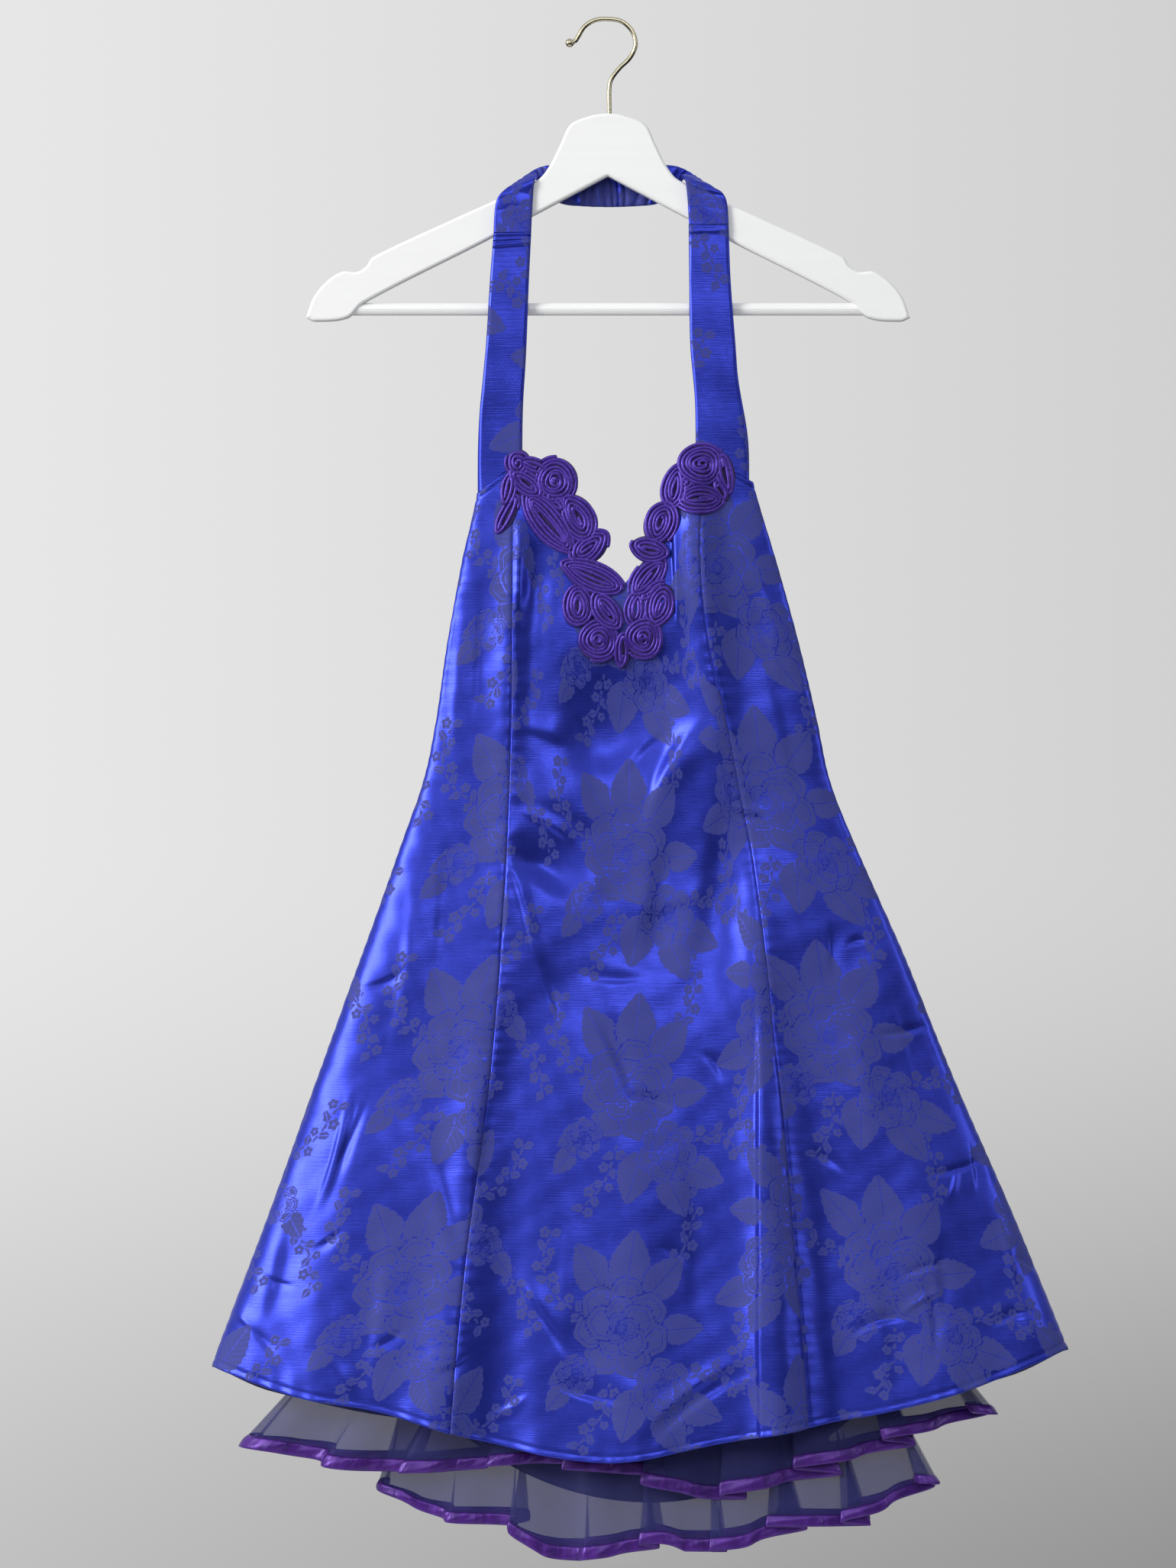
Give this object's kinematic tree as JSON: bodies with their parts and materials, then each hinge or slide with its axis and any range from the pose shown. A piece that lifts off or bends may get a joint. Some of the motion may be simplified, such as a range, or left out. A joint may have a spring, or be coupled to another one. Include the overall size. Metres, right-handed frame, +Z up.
{
  "type": "halter prom dress on a wooden hanger",
  "caption": "Halter-neck party dress of patterned satin with corded neckline trim and bound net frills, hung on a flat wooden hanger with a wire hook.",
  "frame": {"origin": "inside top of the hanger's wire hook, where a rail bears", "axes": "+Z up along the hanging dress, -Y towards its front, +X to the right as seen from the front"},
  "size_m": [0.6315, 0.1242, 1.1357],
  "materials": {
    "satin_jacquard": "royal-blue satin with matte grey-blue woven roses and leaves",
    "satin_cord": "purple satin cord, coiled and stitched side by side",
    "lining_cloth": "smooth navy lining cloth",
    "stiff_net": "even navy net, see-through",
    "binding_satin": "purple satin strip folded over the net's edge",
    "painted_wood": "white satin paint on flat wood",
    "painted_bar": "white satin paint on a round wooden bar",
    "brass_wire": "pale polished brass wire"
  },
  "bodies": {
    "root": {"front_centre": "satin_jacquard", "front_side_left": "satin_jacquard", "front_side_right": "satin_jacquard", "back_left": "satin_jacquard", "back_right": "satin_jacquard", "strap_left": "satin_jacquard", "strap_right": "satin_jacquard", "neck_band": "satin_jacquard", "applique_left": "satin_cord", "applique_right": "satin_cord", "lining": "lining_cloth", "frill_upper": "stiff_net", "binding_upper": "binding_satin", "frill_lower": "stiff_net", "binding_lower": "binding_satin", "hanger_body": "painted_wood", "hanger_bar": "painted_bar", "hanger_hook": "brass_wire"}
  },
  "joints": []
}
